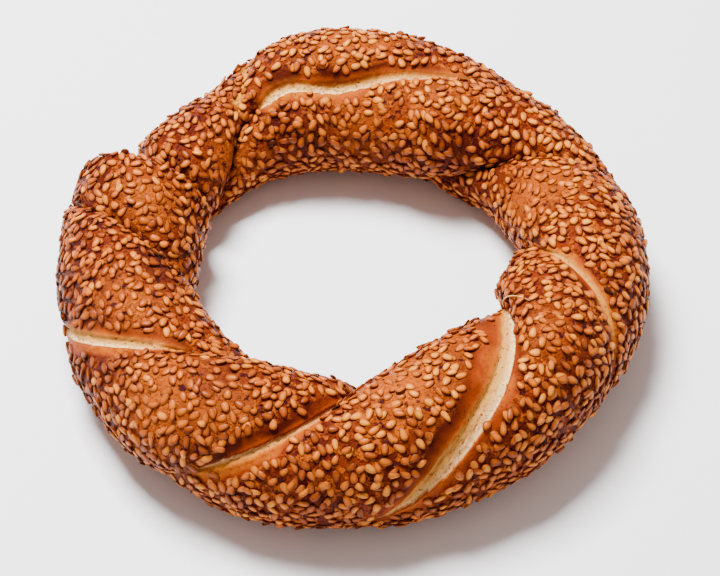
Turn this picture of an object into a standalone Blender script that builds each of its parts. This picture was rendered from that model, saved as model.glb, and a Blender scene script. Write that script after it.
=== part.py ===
"""A simit: two strands of dough twisted into a ring and baked under a coat of sesame seeds.

Metres, +Z up. The ring lies on z = 0, with the origin under the middle of its box.
A place on the ring is given by its ring angle, in degrees counter-clockwise from +X as seen from
above, and by its section angle there: 0 is the outer rim, 90 the top, 180 the inner rim and 270
the underside.
"""

import math
import random

import bpy
import numpy as np
from mathutils import Matrix, Vector
from mathutils.bvhtree import BVHTree

# The rope of dough: ring angle, radius of the rope's middle, half width of the rope
ROPE = (
    (0, 0.0650, 0.0200),
    (30, 0.0645, 0.0175),
    (60, 0.0593, 0.0210),
    (90, 0.0615, 0.0217),
    (108, 0.0625, 0.0203),
    (128, 0.0623, 0.0155),
    (146, 0.0620, 0.0158),
    (154, 0.0622, 0.0154),
    (162, 0.0652, 0.0208),
    (182, 0.0650, 0.0200),
    (210, 0.0670, 0.0200),
    (240, 0.0680, 0.0210),
    (270, 0.0675, 0.0202),
    (300, 0.0635, 0.0220),
    (330, 0.0635, 0.0215),
)
# The seam where the strands meet: ring angle, followed twice round the ring, and the section
# angle that the seam has wound to there. It closes on itself after seven turns of the rope, so
# two stretches of it, one each side of the rope, pass every ring angle.
SEAM_LENGTH = 2 * 360
SEAM_WIND = 7 * 360
SEAM = (
    (14, 0), (27, 90), (45, 180), (166, 360), (180, 450), (198, 540),
    (238, 720), (262, 810), (276, 900), (326, 1080), (344, 1170), (364, 1260),
    (403, 1440), (416, 1504), (436, 1539), (456, 1561), (474, 1547), (484, 1556), (500, 1620),
    (557, 1800), (581, 1890), (605, 1980), (638, 2160), (671, 2250), (697, 2340),
)
# How the strands' sides dip to the seam: ring angle along the seam, depth as a share of the half
# width, and how late the side before the seam and the side after it dip
SEAM_DIPS = (
    (30, 0.26, 3.5, 3.5),
    (182, 0.30, 4.0, 3.5),
    (257, 0.27, 3.0, 4.5),
    (345, 0.21, 3.0, 3.0),
    (450, 0.26, 5.0, 3.0),
    (581, 0.22, 3.0, 3.5),
    (668, 0.26, 4.5, 2.8),
)
# How much of that is filled at the outer rim, where the dough is stretched
OUTER_FILL = 0.72
# The narrow cleft along the seam itself, and the half width of tear that leaves none of it
CLEFT_DEPTH = 0.0014
CLEFT_WIDTH = 0.0016
CLEFT_FADE = 0.0010
# Where the dough tore open along the seam: ring angles of the tear's ends, its half width, and
# the ring angles over which it opens at its start and closes at its end
TEARS = (
    (240, 270, 0.0012, 6, 6),
    (328, 356, 0.0012, 8, 8),
    (408, 480, 0.0020, 36, 4),
    (555, 586, 0.0016, 5, 9),
    (631, 696, 0.0030, 16, 16),
)
# Creases across the rope, the first where its ends were pressed together: ring angle at the
# top, its change for each degree of section angle, section angles of its ends, depth, half width
CREASES = (
    (154.0, 0.03, -60, 200, 0.0048, 0.0028),
    (124.0, 0.20, -30, 112, 0.0016, 0.0024),
)
CREASE_FADE = 20.0
# The ring stands this far into its own flat, as a share of the half width
SEAT = 0.90
# The ring's middle in the part's frame
RING_CENTRE = np.array((0.0002, 0.0024, 0.0))

# The body's mesh: rows round the ring, and columns across each strand
ROWS = 120
STRAND_COLUMNS = 9

# The seeds, at true size
SEED_COUNT = 225
SEED_LENGTHS = (0.0030, 0.0037)
SEED_WIDTH = 0.62
SEED_THICKNESS = 0.32
SEED_SUNK = 0.00035
SEED_SIDES = 5
SEED_RINGS = ((-0.24, 0.96), (0.20, 0.84))
SEED_SPACING = 0.0092
SEED_SEAM_GAP = 0.0036
SEED_LOWEST = 0.0040
SEED_TRIES = 60000
RANDOM_SEED = 27

CRUST_COLOUR = (0.42, 0.16, 0.045, 1.0)
CRUST_ROUGHNESS = 0.45


def smooth_line(xs, ys, x):
    """Smooth curve through rising places xs, which never overshoots the values ys."""
    steps = np.diff(xs)
    slopes = np.diff(ys) / steps
    before, after = slopes[:-1], slopes[1:]
    heavy, light = 2 * steps[1:] + steps[:-1], steps[1:] + 2 * steps[:-1]
    same_way = before * after > 0
    safe_before = np.where(same_way, before, 1.0)
    safe_after = np.where(same_way, after, 1.0)
    mean = (heavy + light) / (heavy / safe_before + light / safe_after)
    tangents = np.zeros_like(ys)
    tangents[1:-1] = np.where(same_way, mean, 0.0)
    k = np.clip(np.searchsorted(xs, x, side="right") - 1, 0, len(xs) - 2)
    t = (x - xs[k]) / steps[k]
    ahead = t * t * (3 - 2 * t)
    left = t * (1 - t) ** 2 * tangents[k]
    right = t * t * (1 - t) * tangents[k + 1]
    return (1 - ahead) * ys[k] + ahead * ys[k + 1] + steps[k] * (left - right)


def round_ring(places, column, length, rise, angle):
    """One column of a table of places that comes round after length degrees, risen by rise."""
    table = np.array(places, dtype=float)
    xs = np.concatenate([table[:, 0] + length * turn for turn in (-1, 0, 1)])
    ys = np.concatenate([table[:, column] + rise * turn for turn in (-1, 0, 1)])
    return smooth_line(xs, ys, angle)


def tear_half_width(seam_place):
    """How far the tear along the seam reaches to each side of it."""
    half = np.zeros_like(seam_place)
    for start, end, width, opening, closing in TEARS:
        inside = np.minimum((seam_place - start) / opening, (end - seam_place) / closing)
        half = np.maximum(half, width * np.clip(inside, 0.0, 1.0))
    return half


def crease_depth(angle, section, radius):
    """How far the creases across the rope press in the crust."""
    depth = np.zeros_like(angle)
    section = (section + 90) % 360 - 90
    for top, slope, start, end, deepest, half_width in CREASES:
        off = np.radians(angle - top - slope * (section - 90)) * radius / half_width
        inside = np.minimum(section - start, end - section) / CREASE_FADE
        depth += deepest * np.exp(-off * off) * np.clip(inside, 0.0, 1.0)
    return depth


def strand_point(angle, strand, across):
    """Points on a strand: across runs from -1 at its first seam to 1 at its second."""
    angle = np.asarray(angle, dtype=float)
    across = np.asarray(across, dtype=float)
    places = [angle, angle + 360]
    sections = [round_ring(SEAM, 1, SEAM_LENGTH, SEAM_WIND, place) % 360 for place in places]
    first, second = sections[strand], sections[1 - strand]
    half_span = (second - first) % 360 / 2
    section = first + half_span * (1 + across)
    radius = round_ring(ROPE, 1, 360, 0.0, angle)
    half_width = round_ring(ROPE, 2, 360, 0.0, angle)

    side = np.radians(half_span) * half_width
    from_seam = side * (1 - np.abs(across))
    seam_place = np.where(across < 0, places[strand], places[1 - strand])
    tear = tear_half_width(seam_place)
    past_tear = np.maximum(from_seam - tear, 0.0)
    tilt = np.radians(section)
    open_share = 1 - OUTER_FILL * ((1 + np.cos(tilt)) / 2) ** 2
    deepest = round_ring(SEAM_DIPS, 1, SEAM_LENGTH, 0.0, seam_place)
    lateness = [round_ring(SEAM_DIPS, column, SEAM_LENGTH, 0.0, seam_place) for column in (2, 3)]
    dip = deepest * (1 - past_tear / (side - tear)) ** np.where(across < 0, lateness[1], lateness[0])
    shut = np.clip(1 - tear / CLEFT_FADE, 0.0, 1.0)
    cleft = CLEFT_DEPTH * np.exp(-((from_seam / CLEFT_WIDTH) ** 2)) * shut
    pressed = open_share * (half_width * dip + cleft) + crease_depth(angle, section, radius)
    reach = half_width - pressed

    out = radius + reach * np.cos(tilt)
    up = np.maximum(SEAT * half_width + reach * np.sin(tilt), 0.0)
    turn = np.radians(angle)
    place = np.stack([out * np.cos(turn), out * np.sin(turn), up], axis=-1)
    return place + RING_CENTRE, from_seam - tear


def body_mesh():
    """The bare ring, in rows and columns that run along the twist, so that edges follow each seam."""
    angles = 360 * np.arange(ROWS) / ROWS
    columns = np.sin(np.pi * (np.arange(STRAND_COLUMNS) / STRAND_COLUMNS - 0.5))
    rows = []
    for strand in (0, 1):
        grid_angles, grid_across = np.meshgrid(angles, columns, indexing="ij")
        rows.append(strand_point(grid_angles, strand, grid_across)[0])
    points = np.concatenate(rows, axis=1).reshape(-1, 3)

    count = 2 * STRAND_COLUMNS
    faces = []
    for row in range(ROWS):
        near, far = row * count, (row + 1) % ROWS * count
        # The strands have changed places after a full round
        shift = STRAND_COLUMNS if row == ROWS - 1 else 0
        for column in range(count):
            beside = (column + 1) % count
            far_here, far_beside = far + (column + shift) % count, far + (beside + shift) % count
            faces.append((near + column, near + beside, far_here))
            faces.append((near + beside, far_beside, far_here))
    mesh = bpy.data.meshes.new("simit")
    mesh.from_pydata(points.tolist(), [], faces)
    mesh.update()
    mesh.shade_smooth()
    return mesh


def seed_mesh(length):
    """A sesame seed lying along X: a flat drop, round at one end and pointed at the other."""
    half_width = SEED_WIDTH * length / 2
    half_thickness = SEED_THICKNESS * length / 2
    points = [(-length / 2, 0.0, 0.0)]
    for along, share in SEED_RINGS:
        for side in range(SEED_SIDES):
            turn = 2 * np.pi * side / SEED_SIDES
            across = share * half_width * np.cos(turn)
            points.append((along * length, across, share * half_thickness * np.sin(turn)))
    points.append((length / 2, 0.0, 0.0))

    tip = len(points) - 1
    faces = []
    for side in range(SEED_SIDES):
        beside = (side + 1) % SEED_SIDES
        faces.append((0, 1 + side, 1 + beside))
        for ring in range(len(SEED_RINGS) - 1):
            near, far = 1 + ring * SEED_SIDES, 1 + (ring + 1) * SEED_SIDES
            faces.append((near + side, far + side, far + beside, near + beside))
        last = 1 + (len(SEED_RINGS) - 1) * SEED_SIDES
        faces.append((last + side, tip, last + beside))
    mesh = bpy.data.meshes.new("seed")
    mesh.from_pydata(points, [], [face[::-1] for face in faces])
    mesh.update()
    return mesh


def seed_frame(crust, place, spin, stand):
    """The matrix of a seed that lies flat on the crust's nearest facet, turned by spin."""
    touch, out, _, _ = crust.find_nearest(Vector(place))
    along = Vector((0.0, 0.0, 1.0)).cross(out).normalized()
    beside = out.cross(along)
    forward = math.cos(spin) * along + math.sin(spin) * beside
    frame = Matrix((forward, out.cross(forward), out)).transposed().to_4x4()
    frame.translation = touch + stand * out
    return frame


def seed_places(draw):
    """Evenly spread places for the seeds, clear of the seams, the tears and the underside."""
    points = []
    for _ in range(SEED_TRIES):
        if len(points) == SEED_COUNT:
            break
        angle, strand = draw.uniform(0, 360), draw.randrange(2)
        across = draw.uniform(-0.95, 0.95)
        point, from_seam = strand_point(angle, strand, across)
        if point[2] < SEED_LOWEST or from_seam < SEED_SEAM_GAP:
            continue
        if points and np.linalg.norm(np.array(points) - point, axis=1).min() < SEED_SPACING:
            continue
        points.append(point)
    return points


def make_seeds(body):
    """The seeds as objects in a collection of their own, the largest first."""
    draw = random.Random(RANDOM_SEED)
    crust = BVHTree.FromObject(body, bpy.context.evaluated_depsgraph_get())
    seeds = bpy.data.collections.new("seeds")
    bpy.context.scene.collection.children.link(seeds)
    places = seed_places(draw)
    lengths = sorted((draw.uniform(*SEED_LENGTHS) for _ in places), reverse=True)
    for number, (place, length) in enumerate(zip(places, lengths)):
        stand = SEED_THICKNESS * length / 2 - SEED_SUNK
        seed = bpy.data.objects.new(f"seed_{number}", seed_mesh(length))
        seed.matrix_world = seed_frame(crust, place, draw.uniform(0, 2 * math.pi), stand)
        seeds.objects.link(seed)
    return seeds


def fuse(body, seeds):
    """Joins the seeds to the body by one Boolean union, and removes the loose ones."""
    union = body.modifiers.new("fuse_seeds", "BOOLEAN")
    union.operation = "UNION"
    union.operand_type = "COLLECTION"
    union.collection = seeds
    union.solver = "EXACT"
    bpy.context.view_layer.update()
    graph = bpy.context.evaluated_depsgraph_get()
    fused = bpy.data.meshes.new_from_object(body.evaluated_get(graph))
    body.modifiers.remove(union)
    body.data = fused
    for seed in list(seeds.objects):
        bpy.data.objects.remove(seed, do_unlink=True)
    bpy.data.collections.remove(seeds)


def crust_material():
    """Baked crust: a browned, slightly glossy skin."""
    material = bpy.data.materials.new("baked_crust")
    material.use_nodes = True
    shader = material.node_tree.nodes["Principled BSDF"]
    shader.inputs["Base Color"].default_value = CRUST_COLOUR
    shader.inputs["Roughness"].default_value = CRUST_ROUGHNESS
    shader.inputs["Metallic"].default_value = 0.0
    return material


def clear_scene():
    """Removes whatever the scene holds."""
    for thing in list(bpy.data.objects):
        bpy.data.objects.remove(thing, do_unlink=True)


def main():
    """Builds the simit."""
    clear_scene()
    body = bpy.data.objects.new("simit", body_mesh())
    bpy.context.scene.collection.objects.link(body)
    fuse(body, make_seeds(body))
    body.data.materials.clear()
    body.data.materials.append(crust_material())


main()
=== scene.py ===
"""A simit: a ring of twisted dough, browned and torn open along its seam, under a coat of sesame.

Metres, in the part's own frame. A place on the ring is its ring angle, in degrees
counter-clockwise from +X seen from above, and its section angle: 0 is the outer rim, 90 the
top, 180 the inner rim and 270 the underside.
"""

import logging
import math
from dataclasses import dataclass, field
from enum import Enum

import bpy
import numpy as np
from mathutils import Matrix, Vector, noise

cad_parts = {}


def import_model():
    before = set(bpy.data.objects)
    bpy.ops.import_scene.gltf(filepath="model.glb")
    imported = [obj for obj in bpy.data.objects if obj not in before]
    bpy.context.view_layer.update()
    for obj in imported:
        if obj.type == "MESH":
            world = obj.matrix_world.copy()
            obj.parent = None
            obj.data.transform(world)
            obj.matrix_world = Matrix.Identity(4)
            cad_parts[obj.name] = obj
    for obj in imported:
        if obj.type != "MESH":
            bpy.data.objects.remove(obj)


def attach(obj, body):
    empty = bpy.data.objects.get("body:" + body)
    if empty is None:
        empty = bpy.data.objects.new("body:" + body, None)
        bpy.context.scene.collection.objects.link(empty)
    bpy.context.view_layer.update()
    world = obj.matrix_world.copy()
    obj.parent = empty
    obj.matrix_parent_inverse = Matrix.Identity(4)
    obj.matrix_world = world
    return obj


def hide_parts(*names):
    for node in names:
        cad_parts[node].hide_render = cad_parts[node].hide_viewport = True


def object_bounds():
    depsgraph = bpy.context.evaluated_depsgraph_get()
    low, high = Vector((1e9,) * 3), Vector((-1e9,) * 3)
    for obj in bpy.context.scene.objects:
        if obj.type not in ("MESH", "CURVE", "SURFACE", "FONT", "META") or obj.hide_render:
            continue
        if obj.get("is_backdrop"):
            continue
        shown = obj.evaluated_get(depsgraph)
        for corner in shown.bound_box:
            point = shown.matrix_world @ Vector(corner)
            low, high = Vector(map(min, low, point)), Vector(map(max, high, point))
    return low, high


MM = 0.001
NODE = "simit"
BODY = "root"
# Keeps a length of nothing from being divided by
TINY = 1e-12
LOG = logging.getLogger("simit")


class Side(Enum):
    """A side of the seam, by the way that the section angle runs."""

    BEFORE = "before"
    AFTER = "after"


@dataclass(frozen=True)
class Margin:
    """The unseeded skin along one side of a tear, with its values at the tear's start and end.

    Attributes:
        widths: How wide it is.
        toasts_and_shades: How brown it is, partly as painted shade on slopes that face away from the light.
    """

    widths: tuple
    toasts_and_shades: tuple


@dataclass(frozen=True)
class Tear:
    """A stretch of the seam where the dough tore open in the oven.

    Attributes:
        start: Ring angle where it starts, followed along the seam twice round the ring.
        end: Ring angle where it ends.
        opening: Degrees over which it opens from its start.
        closing: Degrees over which it closes to its end.
        half_width: Half the width of the bared crumb.
        before: The skin on the side before the seam.
        after: The skin on the side after it.
        sharp: The side where the crumb ends at a sharp edge of crust and is palest, partly as painted
            light.
        spill: How far the crumb runs up the skin on its soft side.
        paleness: How pale its crumb is at its start and its end.
    """

    start: float
    end: float
    opening: float
    closing: float
    half_width: float
    before: Margin
    after: Margin
    sharp: Side
    spill: float
    paleness: tuple

    def share(self, seam_place: np.ndarray) -> np.ndarray:
        """How far open the tear is along the seam, from 0 past its ends to 1."""
        opened = (seam_place - self.start) / self.opening
        return np.clip(np.minimum(opened, (self.end - seam_place) / self.closing), 0.0, 1.0)

    def margin(self, seam_place: np.ndarray, after: np.ndarray) -> tuple:
        """How wide and how brown its unseeded skin is.

        Args:
            seam_place: Ring angles along the seam.
            after: Whether each place is on the side after the seam.

        Returns:
            The widths and the toasts there.
        """
        ends = (self.start, self.end)
        widths, toasts_and_shades = (
            np.where(after, np.interp(seam_place, ends, inner), np.interp(seam_place, ends, outer))
            for outer, inner in (
                (self.before.widths, self.after.widths),
                (self.before.toasts_and_shades, self.after.toasts_and_shades),
            )
        )
        return widths, toasts_and_shades


@dataclass(frozen=True)
class Crease:
    """A crease across the rope.

    Attributes:
        angle: Ring angle of the crease at the top of the rope.
        slope: Change of its ring angle for each degree of section angle.
        start: Section angle where it starts.
        end: Section angle where it ends.
        depth: How deep it presses in the crust.
        half_width: Half its width.
    """

    angle: float
    slope: float
    start: float
    end: float
    depth: float
    half_width: float


def smooth_line(xs: np.ndarray, ys: np.ndarray, x: np.ndarray) -> np.ndarray:
    """Smooth curve through rising places, which never overshoots their values.

    Args:
        xs: Places in rising order.
        ys: The values there.
        x: Where to read the curve.

    Returns:
        The curve's values at x.
    """
    steps = np.diff(xs)
    slopes = np.diff(ys) / steps
    before, after = slopes[:-1], slopes[1:]
    heavy, light = 2 * steps[1:] + steps[:-1], steps[1:] + 2 * steps[:-1]
    same_way = before * after > 0
    safe_before = np.where(same_way, before, 1.0)
    safe_after = np.where(same_way, after, 1.0)
    mean = (heavy + light) / (heavy / safe_before + light / safe_after)
    tangents = np.zeros_like(ys)
    tangents[1:-1] = np.where(same_way, mean, 0.0)
    k = np.clip(np.searchsorted(xs, x, side="right") - 1, 0, len(xs) - 2)
    t = (x - xs[k]) / steps[k]
    ahead = t * t * (3 - 2 * t)
    left = t * (1 - t) ** 2 * tangents[k]
    right = t * t * (1 - t) * tangents[k + 1]
    return (1 - ahead) * ys[k] + ahead * ys[k + 1] + steps[k] * (left - right)


def round_ring(places: tuple, column: int, length: float, rise: float, angle: np.ndarray) -> np.ndarray:
    """One column of a table of places round the ring.

    Args:
        places: The table, with the ring angle first in each row.
        column: Which column to read.
        length: Degrees after which the table comes round.
        rise: How much the column has risen by then.
        angle: Ring angles to read it at.

    Returns:
        The column's values at those angles.
    """
    table = np.array(places, dtype=float)
    xs = np.concatenate([table[:, 0] + length * turn for turn in (-1, 0, 1)])
    ys = np.concatenate([table[:, column] + rise * turn for turn in (-1, 0, 1)])
    return smooth_line(xs, ys, angle)


def smooth_step(low: float | np.ndarray, high: float | np.ndarray, value: np.ndarray) -> np.ndarray:
    """0 at low, 1 at high, and a smooth step between them."""
    share = np.clip((value - low) / (high - low), 0.0, 1.0)
    return share * share * (3 - 2 * share)


# Blender's noise stays well inside -1 to 1, so it is spread to fill that range
NOISE_GAIN = 1.6


def field_noise(points: np.ndarray, grain: float, salt: float = 0.0) -> np.ndarray:
    """Smooth noise of -1 to 1 at each point.

    Args:
        points: Points in metres, in the last axis.
        grain: Size of the noise's lumps in metres.
        salt: Shifts the pattern, so that two fields differ.

    Returns:
        The noise, without the last axis.
    """
    flat = points.reshape(-1, 3) / grain + salt
    values = np.fromiter((noise.noise(place) for place in flat.tolist()), float, len(flat))
    return np.clip(values * NOISE_GAIN, -1.0, 1.0).reshape(points.shape[:-1])


@dataclass(frozen=True)
class Waver:
    """A smooth uneven rise and fall over the crust.

    Attributes:
        most: How far it rises and falls.
        size: Size of its lumps.
        salt: Shifts its pattern, so that two of them differ.
    """

    most: float
    size: float
    salt: float = 0.0

    def at(self, points: np.ndarray) -> np.ndarray:
        """Its value at each point."""
        return self.most * field_noise(points, self.size, self.salt)


@dataclass(frozen=True)
class TornSkin:
    """How the skin gives way to the crumb at a tear, and the painted shade in a fold.

    Attributes:
        open_at: Half width from which a tear counts as open.
        ragged: What moves the crumb's edge in and out.
        sharp_ragged: Share of that at the sharp edge.
        sharp_blur: How softly the crumb ends at the sharp edge.
        soft_blur: How softly it ends on the other side.
        crumb_least: Share of crumb where it is darkest.
        crumb_gain: How much more there is where it is paler.
        least_tear: Least half width that a place across a tear is measured by.
        pale_span: Where the crumb turns pale, partly as painted light, in half widths towards the sharp
            edge.
        gilt_width: How far the yellow skin reaches from the soft side.
        gilt_least: How yellow it is beside the darkest crumb.
        gilt_gain: How much yellower it is beside paler crumb.
        gilt_crease: How yellow the bottom of the second crease is.
        char_place: How far past the sharp edge the burnt line lies.
        char_width: Half the burnt line's width.
        wave: How the width of the unseeded skin varies.
        least_margin: Least width of that skin, to divide by.
        seeds_from: Where the unseeded skin ends and where it is whole, in its widths.
        toast_rise: How much browner it gets from its inner side to its outer.
        fold_shade_strength: How dark the painted shade in the fold along a shut seam is.
        fold_shade_width: How wide that painted shade is.
        crease_shade_strength: How dark the painted shade in the first crease is.
    """

    open_at: float = 0.5 * MM
    ragged: tuple = (Waver(0.40 * MM, 1.5 * MM, 3.1), Waver(0.20 * MM, 0.6 * MM, 9.2))
    sharp_ragged: float = 0.6
    sharp_blur: float = 0.12 * MM
    soft_blur: float = 0.50 * MM
    crumb_least: float = 0.3
    crumb_gain: float = 0.9
    least_tear: float = 0.1 * MM
    pale_span: tuple = (-0.4, 0.8)
    gilt_width: float = 0.7 * MM
    gilt_least: float = 0.12
    gilt_gain: float = 0.42
    gilt_crease: float = 0.95
    char_place: float = 0.25 * MM
    char_width: float = 0.28 * MM
    wave: Waver = Waver(0.35, 5 * MM, 7.7)
    least_margin: float = 0.05 * MM
    seeds_from: tuple = (1.2, 0.8)
    toast_rise: float = 0.60
    fold_shade_strength: float = 0.8
    fold_shade_width: float = 1.1 * MM
    crease_shade_strength: float = 0.6


@dataclass(frozen=True)
class Patch:
    """A round patch of the crust.

    Attributes:
        angle: Ring angle of its middle.
        section: Section angle of its middle.
        radius: Its radius.
        strength: How strong it is in its middle.
    """

    angle: float
    section: float
    radius: float
    strength: float


@dataclass(frozen=True)
class CrustPlaces:
    """Points on the crust, with what the finish and the seeds need to know there.

    Attributes:
        points: Places of the points.
        beyond: Distance past the nearest seam or tear, negative inside a tear.
        crumb: Share of bared crumb.
        pale: How pale the crumb is there, partly its own pallor and partly painted light.
        gilt: How yellow the skin is where it thins out into the crumb.
        char: How burnt the sharp edge of the crust is.
        bare: Share of unseeded skin.
        toast: How brown the unseeded skin is, partly as painted shade.
        crease: Share of painted shade in a fold or a crease, from 0 to 1.
        along: Distance along the seam, for the crumb's fibres.
        aside: Distance from the seam, negative on its far side.
    """

    points: np.ndarray
    beyond: np.ndarray
    crumb: np.ndarray
    pale: np.ndarray
    gilt: np.ndarray
    char: np.ndarray
    bare: np.ndarray
    toast: np.ndarray
    crease: np.ndarray
    along: np.ndarray
    aside: np.ndarray


@dataclass(frozen=True)
class TwistedRing:
    """The form of the ring: a rope of two strands, from the same sizes as its solid.

    Attributes:
        rope: Ring angle, radius of the rope's middle, and half the rope's width.
        seam: Ring angle, followed twice round the ring, and the seam's section angle there.
        seam_length: Ring angles after which the seam closes.
        seam_wind: How far it has wound round the rope by then.
        seam_dips: Ring angle along the seam, its depth as a share of half the rope's width,
            and how steeply the strands fall to it before it and after it.
        outer_fill: How much shallower the seam is at the outer rim.
        cleft_depth: Depth of the narrow cleft where the seam is shut.
        cleft_width: Half the cleft's width.
        cleft_fade: Half width of a tear at which the cleft is gone.
        tears: Where the seam tore open.
        creases: The creases across the rope.
        crease_fade: Degrees over which a crease fades out at its ends.
        glazed: Patches where the glaze lies over the seeds.
        rubbed: Patches that lost their seeds.
        scorched: Patches painted darkest, partly where it baked darkest and partly as painted shade.
        fair: Patches that stayed palest.
        seat: Height of the rope's middle, as a share of half its width.
        centre: What brings the middle of the ring's box over the origin.
        base_recess: Least height of the skin over the table.
        floor_drop: How far the bared crumb lies below the skin.
        lip: Height of the skin's lip beside a tear.
        lip_place: How far from the tear the lip stands.
        lip_width: Half the lip's width.
        skin_sink: How far the skin lies below the form that the seams and creases give.
        lumps: The uneven swelling of the dough.
        pore_size: Size of the crumb's pores.
        pore_salt: Shifts their pattern.
        pore_least: Noise value from which there is a pore.
        pore_depth: How deep a pore is for each unit of noise past that.
        crumb_folds: The fine folds of the crumb.
        torn_skin: How the skin gives way to the crumb.
    """

    rope: tuple = (
        (0, 0.0650, 0.0200),
        (30, 0.0645, 0.0175),
        (60, 0.0593, 0.0210),
        (90, 0.0615, 0.0217),
        (108, 0.0625, 0.0203),
        (128, 0.0623, 0.0155),
        (146, 0.0620, 0.0158),
        (154, 0.0622, 0.0154),
        (162, 0.0652, 0.0208),
        (182, 0.0650, 0.0200),
        (210, 0.0670, 0.0200),
        (240, 0.0680, 0.0210),
        (270, 0.0675, 0.0202),
        (300, 0.0635, 0.0220),
        (330, 0.0635, 0.0215),
    )
    seam: tuple = (
        (14, 0), (27, 90), (45, 180), (166, 360), (180, 450), (198, 540),
        (238, 720), (262, 810), (276, 900), (326, 1080), (344, 1170), (364, 1260),
        (403, 1440), (416, 1504), (436, 1539), (456, 1561), (474, 1547), (484, 1556), (500, 1620),
        (557, 1800), (581, 1890), (605, 1980), (638, 2160), (671, 2250), (697, 2340),
    )
    seam_length: float = 2 * 360
    seam_wind: float = 7 * 360
    seam_dips: tuple = (
        (30, 0.26, 3.5, 3.5),
        (182, 0.30, 4.0, 3.5),
        (257, 0.27, 3.0, 4.5),
        (345, 0.21, 3.0, 3.0),
        (450, 0.26, 5.0, 3.0),
        (581, 0.22, 3.0, 3.5),
        (668, 0.26, 4.5, 2.8),
    )
    outer_fill: float = 0.72
    cleft_depth: float = 1.4 * MM
    cleft_width: float = 1.6 * MM
    cleft_fade: float = 1.0 * MM
    # The browning of each margin also paints the shade on slopes below an overhanging strand
    tears: tuple = (
        Tear(
            240, 270, 6, 6, 1.2 * MM,
            Margin((6.0 * MM, 1.5 * MM), (0.30, 0.45)), Margin((4.0 * MM, 5.5 * MM), (0.90, 1.00)),
            Side.AFTER, -0.5 * MM, (0.50, 0.30),
        ),
        Tear(
            328, 356, 8, 8, 1.2 * MM,
            Margin((3.8 * MM, 4.0 * MM), (0.20, 0.10)), Margin((3.2 * MM, 4.0 * MM), (0.50, 0.35)),
            Side.AFTER, 0.9 * MM, (0.15, 0.60),
        ),
        Tear(
            408, 480, 36, 4, 2.0 * MM,
            Margin((3.0 * MM, 4.6 * MM), (0.55, 0.95)), Margin((1.2 * MM, 4.0 * MM), (0.20, 0.00)),
            Side.AFTER, -0.5 * MM, (0.35, 0.95),
        ),
        Tear(
            555, 586, 5, 9, 1.6 * MM,
            Margin((6.0 * MM, 0.8 * MM), (0.25, 0.30)), Margin((4.2 * MM, 5.0 * MM), (0.45, 0.70)),
            Side.BEFORE, 0.7 * MM, (0.95, 0.65),
        ),
        Tear(
            631, 696, 16, 16, 3.0 * MM,
            Margin((5.5 * MM, 0.4 * MM), (0.60, 0.55)), Margin((6.0 * MM, 14.0 * MM), (0.90, 0.28)),
            Side.BEFORE, 0.5 * MM, (0.35, 1.00),
        ),
    )
    creases: tuple = (
        Crease(154.0, 0.03, -60, 200, 4.8 * MM, 2.8 * MM),
        Crease(124.0, 0.20, -30, 112, 1.6 * MM, 2.4 * MM),
    )
    crease_fade: float = 20.0
    glazed: tuple = (
        Patch(174, 112, 9 * MM, 0.9),
        Patch(206, 84, 10 * MM, 1.0),
        Patch(230, 56, 12 * MM, 1.0),
        Patch(242, 68, 9 * MM, 0.8),
        Patch(280, 112, 10 * MM, 1.0),
        Patch(304, 138, 7 * MM, 0.6),
        Patch(16, 130, 10 * MM, 0.8),
        Patch(88, 152, 12 * MM, 0.5),
        Patch(136, 148, 8 * MM, 0.7),
    )
    rubbed: tuple = (
        Patch(136, 146, 7 * MM, 1.0),
        Patch(16, 142, 5 * MM, 0.9),
        Patch(8, 116, 4 * MM, 0.8),
        Patch(99, 158, 4 * MM, 0.8),
        Patch(75, 148, 4 * MM, 0.7),
        Patch(268, 26, 2.5 * MM, 0.9),
        Patch(178, 78, 2 * MM, 0.9),
        Patch(122, 76, 1.8 * MM, 0.9),
        Patch(125, 92, 1.8 * MM, 0.9),
        Patch(74, 134, 4 * MM, 0.8),
        Patch(212, 38, 3.5 * MM, 0.8),
        Patch(234, 96, 3 * MM, 0.8),
    )
    # Partly real scorching, partly painted shade, as on the outer rim at the left and in the inner fold
    scorched: tuple = (
        Patch(193, 126, 9 * MM, 1.0),
        Patch(152, 108, 5 * MM, 0.7),
        Patch(238, 84, 10 * MM, 0.5),
        Patch(343, 50, 4 * MM, 0.6),
        Patch(176, 30, 12 * MM, 0.45),
        Patch(188, 4, 20 * MM, 0.80),
        Patch(208, 40, 16 * MM, 0.60),
        Patch(200, 92, 12 * MM, 0.35),
        Patch(112, 150, 12 * MM, 0.5),
        Patch(128, 96, 7 * MM, 0.4),
        Patch(46, 150, 9 * MM, 0.6),
        Patch(262, 84, 8 * MM, 0.4),
        Patch(318, 128, 7 * MM, 0.4),
    )
    fair: tuple = (
        Patch(288, 108, 14 * MM, 0.8),
        Patch(92, 60, 18 * MM, 0.8),
        Patch(20, 100, 12 * MM, 0.4),
        Patch(320, 80, 10 * MM, 0.4),
        Patch(62, 108, 8 * MM, 0.6),
    )
    seat: float = 0.90
    centre: tuple = (0.2 * MM, 2.4 * MM, 0.0)
    base_recess: float = 0.25 * MM
    floor_drop: float = 0.55 * MM
    lip: float = 0.35 * MM
    lip_place: float = 0.7 * MM
    lip_width: float = 0.6 * MM
    skin_sink: float = 0.2 * MM
    lumps: tuple = (Waver(0.34 * MM, 17 * MM), Waver(0.22 * MM, 6 * MM, 1.3))
    pore_size: float = 0.9 * MM
    pore_salt: float = 5.0
    pore_least: float = 0.1
    pore_depth: float = 0.5 * MM
    crumb_folds: Waver = Waver(0.25 * MM, 2.6 * MM, 6.4)
    torn_skin: TornSkin = TornSkin()

    def radius(self, angle: np.ndarray) -> np.ndarray:
        """Radius of the rope's middle at each ring angle."""
        return round_ring(self.rope, 1, 360, 0.0, angle)

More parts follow.
